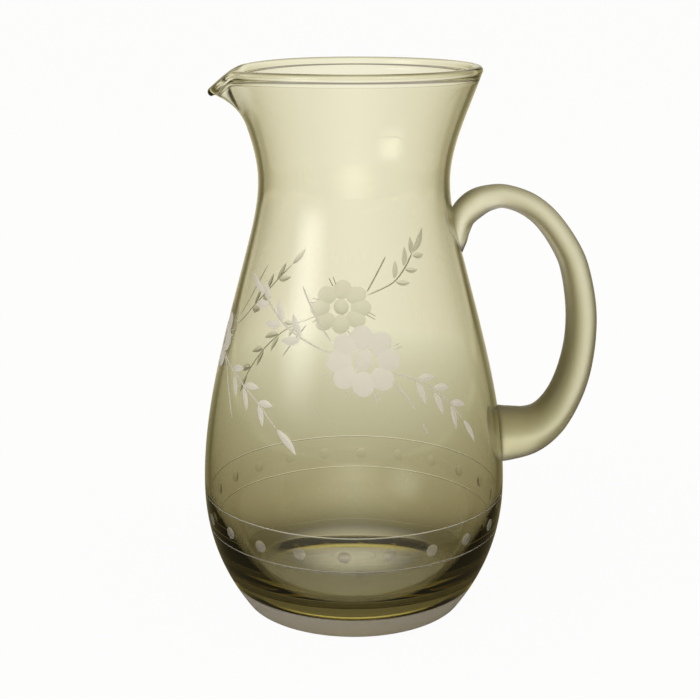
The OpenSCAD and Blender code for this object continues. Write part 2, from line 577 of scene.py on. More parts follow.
@dataclass(frozen=True)
class Outline:
    """The body's outline, in millimetres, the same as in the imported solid."""

    foot_r: float = 48.1
    foot_slope: float = 0.73
    belly_z: float = 53.9
    rim_z: float = 233.1
    places: tuple[Place, ...] = (
        Place(0.0, foot_r, foot_slope),
        Place(belly_z, 65.93, 0.0),
        Place(160.2, 45.1, -0.264),
        Place(187.6, 40.4, 0.0),
        Place(rim_z, 53.2, 0.33),
    )
    # the wall's thickness at the rim and at the belly
    rim_wall: float = 2.3
    belly_wall: float = 2.4
    # the wall at the top of the bowl's round bottom, and how it thickens down to there
    low_wall: float = 6.0
    low_z: float = 22.0
    low_power: float = 1.5
    # how far above and below a height its slope is measured
    slope_reach: float = 0.1

    def radius(self, height: np.ndarray | float) -> np.ndarray:
        """Outer radius at a height.

        Args:
            height: one height or an array of them.

        Returns:
            The radius at each height.
        """
        z = np.asarray(height, dtype=float)
        result = np.zeros_like(z)
        last = len(self.places) - 2
        for k, (a, b) in enumerate(zip(self.places, self.places[1:])):
            span = b.height - a.height
            t = (z - a.height) / span
            cubic = (
                (2 * t**3 - 3 * t**2 + 1) * a.radius
                + (t**3 - 2 * t**2 + t) * span * a.slope
                + (3 * t**2 - 2 * t**3) * b.radius
                + (t**3 - t**2) * span * b.slope
            )
            here = ((z >= a.height) | (k == 0)) & ((z < b.height) | (k == last))
            result = np.where(here, cubic, result)
        return result

    def slope(self, height: np.ndarray | float) -> np.ndarray:
        """Radius gained per height at a height."""
        low, high = (np.asarray(height, dtype=float) + way * self.slope_reach for way in (-1, 1))
        return (self.radius(high) - self.radius(low)) / (2 * self.slope_reach)

    def wall(self, height: np.ndarray | float) -> np.ndarray:
        """Thickness of the wall, thinner towards the rim and thicker below the belly.

        Args:
            height: one height or an array of them.

        Returns:
            The thickness at each height.
        """
        above = np.clip((np.asarray(height) - self.belly_z) / (self.rim_z - self.belly_z), 0, 1)
        below = np.maximum((self.belly_z - np.asarray(height)) / (self.belly_z - self.low_z), 0)
        gain = (self.low_wall - self.belly_wall) * below**self.low_power
        return self.belly_wall + (self.rim_wall - self.belly_wall) * above + gain

    def bore(self, height: np.ndarray | float) -> np.ndarray:
        """Inner radius of the wall at a height."""
        return self.radius(height) - self.wall(height) * np.sqrt(1 + self.slope(height) ** 2)

    def on_skin(
        self, azimuth: np.ndarray, height: np.ndarray | float, lift: np.ndarray | float = 0.0
    ) -> np.ndarray:
        """Places on the body's outer skin, or off it along its normal.

        Args:
            azimuth: angles about the axis in degrees, 0 at the handle.
            height: heights above the table.
            lift: distances outwards from the skin.

        Returns:
            Points, one row each.
        """
        azimuth, height = np.broadcast_arrays(azimuth, height)
        angle = np.radians(azimuth)
        slope = self.slope(height)
        scale = np.sqrt(1 + slope**2)
        radius = self.radius(height) + lift / scale
        return np.stack(
            [radius * np.cos(angle), radius * np.sin(angle), height - lift * slope / scale], axis=-1
        )


@dataclass
class Workpiece:
    """A piece of glass while it is cut, which knows its fire-polished skin and its cut faces."""

    piece: bpy.types.Object
    # the uncut piece's points, in millimetres, and its normals there
    points: np.ndarray
    smooth: np.ndarray
    # the outline on which new points of the skin lie, or None to take the nearest normals
    outline: Outline | None = None
    # metres within which a point of the cut mesh is taken for one of the uncut mesh, and what is
    # added to its distances so that the weights by them stay finite
    same_point: float = 2e-6
    least_apart: float = 1e-7
    # how alike the normals of two cut faces are where the two are shaded as one facet
    same_facet: float = 0.985
    # stand-in materials by which skin and cut faces are told apart
    marking: list[bpy.types.Material] = field(init=False)

    def __post_init__(self) -> None:
        """Marks every face as skin."""
        self.marking = [bpy.data.materials.new(name) for name in ("skin", "cut")]
        self.mark(self.piece, 0)

    def mark(self, solid: bpy.types.Object, index: int) -> None:
        """Marks all faces of a solid alike.

        Args:
            solid: the piece or a cutter.
            index: which of the stand-in materials its faces get.
        """
        for material in self.marking:
            solid.data.materials.append(material)
        solid.data.polygons.foreach_set("material_index", [index] * len(solid.data.polygons))

    def carve(self, cutter: bpy.types.Object) -> None:
        """Cuts a solid out of the piece, and removes that solid.

        Args:
            cutter: the solid that is taken away.
        """
        self.mark(cutter, 1)
        tool = self.piece.modifiers.new("carve", "BOOLEAN")
        tool.operation = "DIFFERENCE"
        tool.solver = "MANIFOLD"
        tool.object = cutter
        tool.material_mode = "TRANSFER"
        graph = bpy.context.evaluated_depsgraph_get()
        mesh = bpy.data.meshes.new_from_object(self.piece.evaluated_get(graph))
        spent = (self.piece.data, cutter.data)
        mesh.name = self.piece.data.name
        self.piece.modifiers.clear()
        self.piece.data = mesh
        bpy.data.objects.remove(cutter)
        for old in spent:
            bpy.data.meshes.remove(old)

    def cut_faces(self) -> np.ndarray:
        """Tells which faces of the piece were cut."""
        return read(self.piece.data.polygons, "material_index", kind=np.int32) == 1

    def skin_normals(self) -> np.ndarray:
        """Works out the uncut skin's normals at the vertices of the cut piece.

        Returns:
            Unit normals, one row each.
        """
        tree = KDTree(len(self.points))
        for k, point in enumerate(self.points * MM):
            tree.insert(point, k)
        tree.balance()
        places = read(self.piece.data.vertices, "co", 3)
        skin = np.zeros_like(places)
        for k, place in enumerate(places):
            near = tree.find_n(place, 3)
            if near[0][2] < self.same_point or self.outline is None:
                weights = np.array([1 / (apart + self.least_apart) for _, _, apart in near])
                skin[k] = (self.smooth[[index for _, index, _ in near]] * weights[:, None]).sum(0)
            else:
                radius = math.hypot(place[0], place[1])
                slope = float(self.outline.slope(place[2] / MM))
                skin[k] = (place[0] / radius, place[1] / radius, -slope)
        return skin / np.linalg.norm(skin, axis=1, keepdims=True)

    def shade(self) -> None:
        """Gives the skin its uncut normals and smooths each cut facet only within itself."""
        mesh = self.piece.data
        vertex = read(mesh.loops, "vertex_index", kind=np.int32)
        normals = self.skin_normals()[vertex]
        flat = read(mesh.polygons, "normal", 3)
        area = read(mesh.polygons, "area")
        cut = [int(face) for face in np.nonzero(self.cut_faces())[0]]
        corners = {face: list(mesh.polygons[face].loop_indices) for face in cut}
        around: dict[int, list[int]] = {}
        for face, own in corners.items():
            for corner in own:
                around.setdefault(int(vertex[corner]), []).append(face)
        for face, own in corners.items():
            for corner in own:
                near = np.array(around[int(vertex[corner])])
                alike = near[flat[near] @ flat[face] > self.same_facet]
                # a face without area still gives its corners a direction
                blend = (flat[alike] * area[alike][:, None]).sum(0) + flat[face] * TINY
                normals[corner] = blend / np.linalg.norm(blend)
        mesh.normals_split_custom_set(normals.tolist())

    def finish(self, glass: bpy.types.Material, grit: np.ndarray) -> None:
        """Sets the piece's normals, how rough each of its faces is ground, and its glass.

        Args:
            glass: the glass.
            grit: the grinding, one value for each face.
        """
        self.shade()
        mesh = self.piece.data
        ground = mesh.attributes.new("ground", "FLOAT", "FACE")
        ground.data.foreach_set("value", grit.astype(np.float32))
        mesh.polygons.foreach_set("material_index", [0] * len(mesh.polygons))
        mesh.materials.clear()
        mesh.materials.append(glass)
        for material in self.marking:
            bpy.data.materials.remove(material)


@dataclass
class Cutters:
    """Solids that a cutting wheel would sweep, gathered into one mesh."""

    outline: Outline
    points: list[np.ndarray] = field(default_factory=list)
    faces: list[list[int]] = field(default_factory=list)
    count: int = 0
    # how far a cutter stands out of the glass, to cut cleanly
    overrun: float = 0.06
    # a ring's points: the degrees between them and the angle of the first
    ring_step: float = 1.25
    ring_start: float = 0.4
    # how a ring cut by hand wanders: how high, how often in a turn and from what angle
    wander: tuple[tuple[float, float, float], ...] = ((0.12, 2.0, 40.0), (0.06, 5.0, 0.0))
    # a dish's mesh: the degrees between its spokes, and its rings
    dish_step: float = 15.0
    dish_rings: int = 6

    def add(self, points: np.ndarray, faces: list[list[int]]) -> None:
        """Takes in one closed solid.

        Args:
            points: its points, one row each.
            faces: its faces, as indices into its own points.
        """
        self.faces += [[k + self.count for k in face] for face in faces]
        self.points.append(points)
        self.count += len(points)

    def groove(self, azimuth: np.ndarray, height: np.ndarray, half: np.ndarray, edge: Edge) -> None:
        """Adds a V groove along an open line, pointed at both ends.

        Args:
            azimuth: the line's angles in degrees.
            height: the line's heights.
            half: the groove's half width at each point.
            edge: the wheel's edge.
        """
        middle = self.outline.on_skin(azimuth, height)
        out = middle - self.outline.on_skin(azimuth, height, -1.0)
        side = np.cross(out, np.gradient(middle, axis=0))
        side /= np.linalg.norm(side, axis=1, keepdims=True)
        top = np.maximum(half + self.overrun / edge.value, 0.0)
        # the skin falls away under a wide cut, so the cut's sides are set from the skin there
        fall = top**2 / (2 * np.hypot(middle[:, 0], middle[:, 1])) * np.abs(side[:, :2]).max(axis=1)
        lid = middle + out * (self.overrun - fall)[:, None]
        keel = middle + out * (self.overrun - edge.value * top)[:, None]
        aside = side * top[:, None]
        ring = np.stack([lid + aside, keel, lid - aside], axis=1)[1:-1]
        ends = (middle + out * self.overrun)[[0, -1]]
        faces = [face[::-1] for face in capped_faces(len(ring), 3)]
        self.add(np.vstack([ring.reshape(-1, 3), ends]), faces)

    def ring(self, height: float, width: float, edge: Edge) -> None:
        """Adds a V groove all round the body.

        Args:
            height: the groove's height.
            width: its width on the skin.
            edge: the wheel's edge.
        """
        turns = np.arange(0, 360, self.ring_step) + self.ring_start
        z = height + sum(
            high * np.sin(np.radians(turns * waves + start)) for high, waves, start in self.wander
        )
        half = width / 2 + self.overrun / edge.value
        section = ((-half, self.overrun), (0.0, -edge.value * width / 2), (half, self.overrun))
        points = np.vstack([self.outline.on_skin(turns, z + rise, lift) for rise, lift in section])
        # the faces after the last row run on to the first row, so that the ring closes
        faces = grid_faces(len(section) + 1, len(turns))
        self.add(points, [[k % len(points) for k in face[::-1]] for face in faces])

    def dish(self, azimuth: float, height: float, size: Point, turn: float, depth: float) -> None:
        """Adds a shallow round dish.

        Args:
            azimuth: the middle's angle in degrees.
            height: the middle's height.
            size: half lengths of the dish across and along.
            turn: how far the dish is turned, in degrees.
            depth: depth in the middle.
        """
        around = np.radians(np.arange(0, 360, self.dish_step))
        reach = math.sqrt(1 + self.overrun / depth)
        shares = np.linspace(0, reach, self.dish_rings + 1)[1:]
        c, s = math.cos(math.radians(turn)), math.sin(math.radians(turn))
        # the last ring lies on the cutter's lid, which has to stay clear of the rounded skin
        rings = [(share, depth * (share**2 - 1)) for share in shares] + [(reach / 2, self.overrun)]
        local = [
            (size[0] * share * math.cos(angle), size[1] * share * math.sin(angle), lift)
            for share, lift in rings
            for angle in around
        ]
        x, y, off = np.array(local + [(0.0, 0.0, -depth), (0.0, 0.0, self.overrun)]).T
        z = height + (x * s + y * c) / math.sqrt(1 + float(self.outline.slope(height)) ** 2)
        angles = azimuth + np.degrees((x * c - y * s) / self.outline.radius(z))
        self.add(self.outline.on_skin(angles, z, off), capped_faces(len(rings), len(around)))

    def piece(self, name: str) -> bpy.types.Object:
        """Makes the cutter object."""
        return make_object(name, np.vstack(self.points), self.faces)


@dataclass(frozen=True)
class Leaf:
    """One leaf of a sprig, from its stalk to its tip, in millimetres from the flower's middle."""

    stalk: Point
    tip: Point
    width: float = 3.0


@dataclass(frozen=True)
class Sprig:
    """A cut twig: its stem, the leaves on both sides, the leaf at its end and bare tendrils."""

    stem: tuple[Point, ...]
    upper: tuple[Leaf, ...]
    lower: tuple[Leaf, ...]
    end: Leaf
    tendrils: tuple[tuple[Point, ...], ...]


@dataclass(frozen=True)
class Spray:
    """A flower with a sprig on each side, where it stands on the body."""

    azimuth: float
    height: float
    sprigs: tuple[Sprig, Sprig]
    hairs: tuple[tuple[Point, Point], ...]
    petals: tuple[Point, ...] = (
        (-0.3, 8.8), (7.1, 6.3), (10.2, 0.0), (7.3, -7.2),
        (-0.1, -9.0), (-7.0, -6.2), (-9.5, -0.4), (-7.2, 5.8),
    )


FRONT_SPRAY = Spray(
    azimuth=-86.3,
    height=123.3,
    sprigs=(
        Sprig(
            stem=(
                (9.0, -4.3), (16.6, -6.9), (21.3, -8.8), (25.2, -11.3),
                (30.3, -15.3), (35.5, -20.4), (38.1, -24.0), (41.6, -29.4),
            ),
            upper=(
                Leaf((21.3, -8.6), (30.3, -9.0)),
                Leaf((28.2, -13.0), (36.5, -14.5), 3.2),
                Leaf((35.6, -20.2), (43.5, -23.0)),
            ),
            lower=(
                Leaf((20.8, -9.4), (24.3, -19.5), 2.8),
                Leaf((28.2, -14.6), (31.4, -24.8), 2.9),
                Leaf((35.4, -21.1), (36.8, -31.7), 2.8),
            ),
            end=Leaf((41.0, -28.3), (46.4, -39.9), 2.8),
            tendrils=(
                ((8.8, -5.6), (12.3, -9.5), (16.3, -14.9), (20.0, -20.7)),
                ((22.0, -25.6), (24.0, -31.1)),
            ),
        ),
        Sprig(
            stem=(
                (-11.6, 2.7), (-17.4, 4.2), (-23.7, 6.6), (-30.7, 9.7),
                (-36.8, 13.2), (-45.8, 19.8), (-50.6, 23.1),
            ),
            upper=(
                Leaf((-45.8, 20.3), (-50.4, 28.4), 2.8),
                Leaf((-35.7, 13.3), (-40.7, 22.3), 2.9),
                Leaf((-26.3, 8.1), (-31.5, 17.1), 3.0),
            ),
            lower=(
                Leaf((-45.6, 18.6), (-54.2, 18.6), 3.6),
                Leaf((-36.8, 12.2), (-45.6, 11.2), 3.6),
                Leaf((-26.6, 7.2), (-35.8, 5.8), 3.6),
            ),
            end=Leaf((-49.6, 22.4), (-62.4, 29.9), 2.9),
            tendrils=(((-12.8, 6.9), (-18.4, 13.7), (-23.6, 21.0), (-28.6, 28.3)),),
        ),
    ),
    hairs=(
        ((12.5, 5.1), (15.7, 6.1)), ((12.0, 3.6), (17.1, 4.9)),
        ((3.6, -10.8), (4.9, -17.1)), ((4.6, -11.5), (6.0, -16.1)),
        ((-12.3, -4.3), (-15.7, -6.2)), ((-10.8, -4.9), (-12.9, -6.9)),
        ((-5.1, -10.7), (-6.6, -13.1)), ((-4.4, 9.4), (-7.8, 13.0)),
    ),
)

BACK_SPRAY = Spray(
    azimuth=96.2,
    height=119.4,
    sprigs=(
        Sprig(
            stem=((17.0, -4.9), (26.4, -8.6), (30.7, -10.8), (38.6, -16.4), (46.0, -24.1), (48.4, -27.9)),
            upper=(
                Leaf((23.6, -6.6), (28.9, -5.0), 2.6),
                Leaf((30.7, -10.4), (39.6, -10.4), 3.2),
                Leaf((38.9, -16.1), (46.7, -15.6), 3.2),
                Leaf((45.6, -23.6), (53.8, -22.3), 3.6),
            ),
            lower=(
                Leaf((22.4, -7.7), (24.9, -13.2), 2.4),
                Leaf((30.3, -11.3), (34.2, -19.0), 2.6),
                Leaf((38.2, -16.9), (41.8, -24.7), 2.6),
            ),
            end=Leaf((47.3, -26.2), (51.5, -35.0), 2.8),
            tendrils=(((16.0, -7.5), (21.5, -14.5), (27.5, -23.0)),),
        ),
        Sprig(
            stem=((-12.0, 5.7), (-20.5, 9.9), (-27.1, 14.0), (-33.9, 21.5), (-40.4, 30.4)),
            upper=(
                Leaf((-26.8, 15.0), (-28.3, 24.9), 2.8),
                Leaf((-32.9, 21.9), (-35.0, 32.3), 2.8),
                Leaf((-38.5, 28.6), (-39.4, 37.5), 2.8),
            ),
            lower=(
                Leaf((-27.4, 13.6), (-36.1, 14.4), 2.9),
                Leaf((-33.4, 20.5), (-41.9, 21.5), 2.9),
                Leaf((-39.4, 27.9), (-47.6, 29.8), 2.9),
            ),
            end=Leaf((-39.6, 29.3), (-50.2, 43.2), 3.0),
            tendrils=(((-12.0, 6.9), (-17.8, 17.0), (-23.6, 26.6)),),
        ),
    ),
    hairs=(
        ((10.4, 4.1), (15.0, 5.6)), ((9.8, 2.4), (16.6, 3.6)),
        ((10.8, -3.4), (19.1, -6.4)), ((9.9, -4.8), (14.1, -7.3)),
        ((2.4, 10.2), (4.8, 15.9)), ((4.2, 10.2), (6.9, 15.4)),
        ((-11.8, -2.0), (-16.9, -4.8)), ((-11.2, -3.5), (-16.7, -6.6)),
    ),
)

LEFT_SPRAY = Spray(
    azimuth=-175.5,
    height=121.5,
    sprigs=(
        Sprig(
            stem=((9.2, -4.5), (18.0, -7.4), (29.7, -11.6), (34.3, -14.0), (43.0, -18.7), (53.8, -28.1)),
            upper=(
                Leaf((33.9, -13.4), (43.0, -12.8)),
                Leaf((42.9, -18.3), (50.5, -18.8)),
                Leaf((24.0, -9.0), (32.4, -7.0)),
            ),
            lower=(
                Leaf((25.3, -10.6), (30.0, -19.8), 2.8),
                Leaf((33.5, -14.2), (37.7, -23.5), 2.8),
                Leaf((43.1, -19.2), (46.5, -27.9), 2.8),
            ),
            end=Leaf((52.6, -27.1), (61.7, -36.9), 3.2),
            tendrils=(((9.6, -6.4), (16.5, -8.6), (24.1, -18.6), (29.9, -29.0)),),
        ),
        Sprig(
            stem=((-11.5, 1.6), (-22.4, 2.2), (-31.2, 5.6), (-40.3, 10.4), (-49.0, 16.4), (-57.0, 22.3)),
            upper=(
                Leaf((-32.4, 6.5), (-35.9, 14.1), 2.8),
                Leaf((-40.5, 11.5), (-44.1, 19.6), 2.8),
                Leaf((-47.2, 15.7), (-52.0, 23.6), 2.8),
            ),
            lower=(
                Leaf((-31.4, 5.2), (-39.0, 2.8), 3.4),
                Leaf((-38.7, 9.2), (-45.4, 7.4), 3.2),
                Leaf((-48.5, 15.6), (-57.1, 15.7), 3.0),
            ),
            end=Leaf((-56.0, 21.6), (-63.8, 29.1), 2.9),
            tendrils=(((-12.0, 3.6), (-25.1, 10.4), (-38.4, 25.3)),),
        ),
    ),
    hairs=(
        ((12.2, 4.4), (16.7, 6.1)), ((12.0, 2.6), (17.0, 3.4)),
        ((3.6, -10.8), (5.4, -16.1)), ((5.2, -10.6), (7.0, -15.0)),
        ((-12.3, -4.3), (-16.2, -6.6)), ((-11.4, -5.9), (-14.2, -8.4)),
        ((-4.4, 10.4), (-6.8, 14.6)), ((-2.6, 11.4), (-4.4, 15.4)),
    ),
)


@dataclass
class CutPattern:
    """The wheel-cut pattern: three sprays round the body over a band of dots between two lines."""

    outline: Outline
    sprays: tuple[Spray, ...] = (FRONT_SPRAY, BACK_SPRAY, LEFT_SPRAY)
    # the radius on which a spray's distances were laid out flat
    flat_radius: float = 55.0
    line_heights: tuple[float, ...] = (52.1, 36.8, 11.3)
    line_width: float = 0.55
    stem_width: float = 0.75
    hair_width: float = 0.5
    # how a stroke runs out: steps between its points, the part of it that each end takes, as one
    # over that part, and how full the ends are
    stroke_steps: int = 6
    stroke_ends: float = 8.0
    stroke_power: float = 0.6
    # a leaf's points, its sideways bow as a share of its length, and its fullness
    leaf_points: int = 17
    leaf_bow_share: float = 0.05
    leaf_lean: float = 0.85
    leaf_power: float = 0.9
    dot_z: float = 43.7
    dot_radius: float = 2.7
    dot_count: int = 22
    dot_start: float = -93.5
    dot_depth: float = 0.3
    # how far the dots stray from their line, and how fast that changes from dot to dot
    dot_stray: float = 0.35
    dot_wave: float = 2.1
    petal_size: Point = (5.1, 4.6)
    petal_depth: float = 0.32
    petal_turn: float = 6.0
    middle_size: Point = (4.3, 3.6)
    middle_depth: float = 0.5
    middle_turn: float = 65.0

    def spot(self, spray: Spray, points: np.ndarray) -> tuple[np.ndarray, np.ndarray]:
        """Turns distances from a flower's middle into angles and heights on the body."""
        azimuth = spray.azimuth + np.degrees(points[:, 0] / self.flat_radius)
        return azimuth, spray.height + points[:, 1]

    def stroke(self, cutters: Cutters, spray: Spray, points: tuple[Point, ...], width: float) -> None:
        """Cuts a thin line that runs out at both ends.

        Args:
            cutters: where the cutter goes.
            spray: the spray that it belongs to.
            points: the line's points from the flower's middle.
            width: its width.
        """
        line = through(points, self.stroke_steps)
        share = np.linspace(0, 1, len(line))
        taper = np.clip(self.stroke_ends * np.minimum(share, 1 - share), 0, 1)
        half = width / 2 * taper**self.stroke_power
        half[0] = half[-1] = -cutters.overrun / Edge.LINE.value
        azimuth, height = self.spot(spray, line)
        cutters.groove(azimuth, height, half, Edge.LINE)

    def leaf(self, cutters: Cutters, spray: Spray, leaf: Leaf) -> None:
        """Cuts one mitred leaf, fuller towards its stalk.

        Args:
            cutters: where the cutter goes.
            spray: the spray that it belongs to.
            leaf: the leaf.
        """
        share = np.linspace(0, 1, self.leaf_points)
        stalk, tip = np.array(leaf.stalk), np.array(leaf.tip)
        way = tip - stalk
        side = np.array([-way[1], way[0]])
        bow = self.leaf_bow_share * np.sin(np.pi * share)[:, None] * side
        line = stalk + share[:, None] * way + bow
        spare = cutters.overrun / Edge.LEAF.value
        full = np.sin(np.pi * share**self.leaf_lean) ** self.leaf_power
        half = (leaf.width / 2 + spare) * full - spare
        azimuth, height = self.spot(spray, line)
        cutters.groove(azimuth, height, half, Edge.LEAF)

    def groups(self) -> list[tuple[str, Cutters]]:
        """Sorts the cuts into groups in which none touches another.

        Returns:
            Each group's name and its cutters, in the order of cutting.
        """
        names = ("bands", "petals_a", "petals_b", "middles", "stems", "tendrils", "upper", "lower")
        sets = {name: Cutters(self.outline) for name in names}
        for height in self.line_heights:
            sets["bands"].ring(height, self.line_width, Edge.LINE)
        dot_size = (self.dot_radius, self.dot_radius)
        for k in range(self.dot_count):
            turn = self.dot_start + 360 * k / self.dot_count
            height = self.dot_z + self.dot_stray * math.sin(self.dot_wave * k)
            sets["bands"].dish(turn, height, dot_size, 0, self.dot_depth)
        for spray in self.sprays:
            for k, (u, v) in enumerate(spray.petals):
                azimuth, height = (float(value[0]) for value in self.spot(spray, np.array([[u, v]])))
                turn = math.degrees(math.atan2(v, u)) + self.petal_turn
                petals = sets["petals_a" if k % 2 == 0 else "petals_b"]
                petals.dish(azimuth, height, self.petal_size, turn, self.petal_depth)
            sets["middles"].dish(
                spray.azimuth, spray.height, self.middle_size, self.middle_turn, self.middle_depth
            )
            for k, hair in enumerate(spray.hairs):
                self.stroke(sets["stems" if k % 2 == 0 else "tendrils"], spray, hair, self.hair_width)
            for sprig in spray.sprigs:
                self.stroke(sets["stems"], spray, sprig.stem, self.stem_width)
                for tendril in sprig.tendrils:
                    self.stroke(sets["tendrils"], spray, tendril, self.stem_width)
                for leaf in sprig.upper:
                    self.leaf(sets["upper"], spray, leaf)
                for leaf in sprig.lower:
                    self.leaf(sets["lower"], spray, leaf)
                self.leaf(sets["tendrils"], spray, sprig.end)
        return [(name, cutters) for name, cutters in sets.items() if cutters.points]


@dataclass
class GlassBody:
    """The blown body: foot, belly, neck, beaded rim and pulled lip, hollow down to a thick base."""

    outline: Outline
    pattern: CutPattern
    finish: Glass
    # the base's thickness, and the height and the fullness of the bowl's round bottom over it
    base_t: float = 6.0
    cove_h: float = 16.0
    cove_power: float = 3.0
    # the hollow under the foot: its height and the flat ring left around it
    kick_h: float = 0.4
    ring_w: float = 5.0
    # how rough the foot's side is ground, between which heights, and from how far off the axis
    foot_ground: float = 0.55
    ground_from: float = 0.5
    ground_to: float = 11.0
    ground_in: float = 42.0
    # how rough the flowers and sprigs are ground
    cut_ground: float = 0.85
    # the dots and lines lie lower than this and get a lighter grind, which leaves them darker than the
    # flowers: painted shade for low cuts that face down and catch less light
    shaded_below_z: float = 56.0
    shaded_ground: float = 0.25
    # the round between the underside and the wall
    heel_r: float = 2.6
    # the rim's bead: its radius, how far its middle lies off the axis, where its round starts and
    # ends, in degrees, and how far under its middle the wall ends, in radii of the bead
    bead_r: float = 1.9
    rim_mid_r: float = 51.3
    bead_arc: Point = (-35.0, 215.0)
    under_bead: float = 1.7
    # the lip: how far under the rim its pull starts, how far it is pulled out and down, how far
    # the rim beside it sinks, and the half widths of the two in degrees
    spout_h: float = 23.0
    spout_pull: float = 7.6
    spout_drop: float = 7.6
    rim_dip: float = 1.5
    spout_half: float = 11.0
    dip_half: float = 40.0
    # how the pull and the drop of the lip grow towards the rim
    pull_power: float = 2.0
    drop_power: float = 1.6
    # how far the bead is turned over at the lip, in degrees
    lip_roll: float = 45.0
    # the mesh: points in a turn, rows in each stretch, and the arcs whose rows crowd together
    columns: int = 288
    heel_rows: int = 8
    wall_rows: int = 126
    lip_rows: int = 13
    bead_rows: int = 22
    bowl_rows: int = 72
    kick_arcs: tuple[tuple[float, float, int], ...] = ((3.0, 60.0, 16), (64.0, 90.0, 14))
    cove_arcs: tuple[tuple[float, float, int], ...] = ((4.0, 80.0, 24), (83.0, 86.0, 2), (88.0, 89.3, 2))

    def underside(self) -> np.ndarray:
        """The hollow under the foot and the round heel.

        Returns:
            Rows of radius and height, from the axis outwards.
        """
        heel_end = -math.degrees(math.atan(self.outline.foot_slope))
        heel_mid = self.outline.foot_r - self.heel_r * math.tan(math.radians((90 + heel_end) / 2))
        turn = np.radians(np.linspace(-90, heel_end, self.heel_rows))
        heel = np.stack([heel_mid + self.heel_r * np.cos(turn), self.heel_r * (1 + np.sin(turn))], axis=1)
        share = np.sin(spread(self.kick_arcs))
        hollow = self.kick_h * np.clip(1 - share**2, 0, 1)
        return np.vstack([np.stack([(heel_mid - self.ring_w) * share, hollow], axis=1), heel])

    def skin(self, low: float, lip_z: float, high: float) -> np.ndarray:
        """The outside of the wall.

        Args:
            low: the height where the heel ends.
            lip_z: the height where the lip's pull starts.
            high: the height where the bead starts.

        Returns:
            Rows of radius and height, going up.
        """
        z = np.concatenate(
            [np.linspace(low, lip_z, self.wall_rows)[1:], np.linspace(lip_z, high, self.lip_rows)[1:]]
        )
        return np.stack([self.outline.radius(z), z], axis=1)

    def bowl(self, lip_z: float, high: float) -> np.ndarray:
        """The inside of the wall and the bowl's round bottom.

        Args:
            lip_z: the height where the lip's pull starts.
            high: the height where the bead starts.

        Returns:
            Rows of radius and height, going down and in to the axis.
        """
        cove_z = self.base_t + self.cove_h
        z = np.concatenate(
            [np.linspace(high, lip_z, self.lip_rows), np.linspace(lip_z, cove_z, self.bowl_rows)[1:]]
        )
        turn = spread(self.cove_arcs)
        power = 2 / self.cove_power
        floor_z = cove_z - self.cove_h * np.sin(turn) ** power
        floor_r = self.outline.bore(floor_z) * np.cos(turn) ** power
        wall = np.stack([self.outline.bore(z), z], axis=1)
        return np.vstack([wall, np.stack([floor_r, floor_z], axis=1)])

    def rows(self) -> np.ndarray:
        """The body's section, outside going up and inside going down.

        Returns:
            Rows of radius, height and the bead's angle, which is not a number off the bead.
        """
        rim_z = self.outline.rim_z
        lip_z = rim_z - self.spout_h
        high = rim_z - self.under_bead * self.bead_r
        foot = self.underside()
        turn = np.linspace(*self.bead_arc, self.bead_rows)
        bead = np.stack([np.full_like(turn, self.rim_mid_r), np.full_like(turn, rim_z), turn], axis=1)
        outside = np.vstack([foot, self.skin(foot[-1, 1], lip_z, high)])
        inside = self.bowl(lip_z, high)
        outside, inside = (
            np.column_stack([part, np.full(len(part), np.nan)]) for part in (outside, inside)
        )
        return np.vstack([outside, bead, inside])

    def bend(self, rows: np.ndarray) -> np.ndarray:
        """Turns the section about the axis and pulls the lip out of the rim.

        Args:
            rows: the section.

        Returns:
            Points, as rows by columns by three.
        """
        turn = np.arange(self.columns) * 360 / self.columns
        lip = np.exp(-(((turn - 180) / self.spout_half) ** 2))[None, :]
        dip = np.exp(-(((turn - 180) / self.dip_half) ** 2))[None, :]
        r, z, bead_a = (rows[:, k][:, None] for k in range(3))
        spout_z = self.outline.rim_z - self.spout_h
        rise = np.clip((z - spout_z) / self.spout_h, 0, 1)
        on_bead = ~np.isnan(bead_a)
        roll = np.radians(np.where(on_bead, bead_a, 0) - self.lip_roll * lip)
        pull = self.spout_pull * lip * rise**self.pull_power
        drop = (self.spout_drop * lip + self.rim_dip * dip) * rise**self.drop_power
        radius = r + pull + on_bead * self.bead_r * np.cos(roll)
        height = z - drop + on_bead * self.bead_r * np.sin(roll)
        angle = np.radians(turn)[None, :]
        return np.stack([radius * np.cos(angle), radius * np.sin(angle), height], axis=-1)

    def build(self) -> bpy.types.Object:
        """Builds the body and cuts its pattern.

        Returns:
            The glass body.
        """
        grid = self.bend(self.rows())
        normals = grid_normals(grid)
        normals[0] = (0, 0, -1)
        normals[-1] = (0, 0, 1)
        points = np.vstack([grid.reshape(-1, 3), [[0, 0, self.kick_h], [0, 0, self.base_t]]])
        smooth = np.vstack([normals.reshape(-1, 3), [[0, 0, -1], [0, 0, 1]]])
        body = make_object("vessel_glass", points, capped_faces(*grid.shape[:2]))
        work = Workpiece(body, points, smooth, self.outline)
        for name, cutters in self.pattern.groups():
            work.carve(cutters.piece(name))
            LOG.info("cut %s: %d faces", name, len(body.data.polygons))
        work.finish(self.finish.material(), self.grit(work))
        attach(body, "root")
        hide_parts(Node.BODY.value)
        return body

    def grit(self, work: Workpiece) -> np.ndarray:
        """Works out how rough each face of the cut body is ground, with a lighter grind as painted shade on
        the low cuts.

        Args:
            work: the cut body.

        Returns:
            One value for each face.
        """
        x, y, z = read(work.piece.data.polygons, "center", 3).T / MM
        foot = (z >= self.ground_from) & (z < self.ground_to) & (np.hypot(x, y) > self.ground_in)
        # cuts below the shaded height get the lighter grind, a painted shade
        cuts = work.cut_faces() * np.where(z < self.shaded_below_z, self.shaded_ground, self.cut_ground)
        return np.maximum(cuts, foot * self.foot_ground)


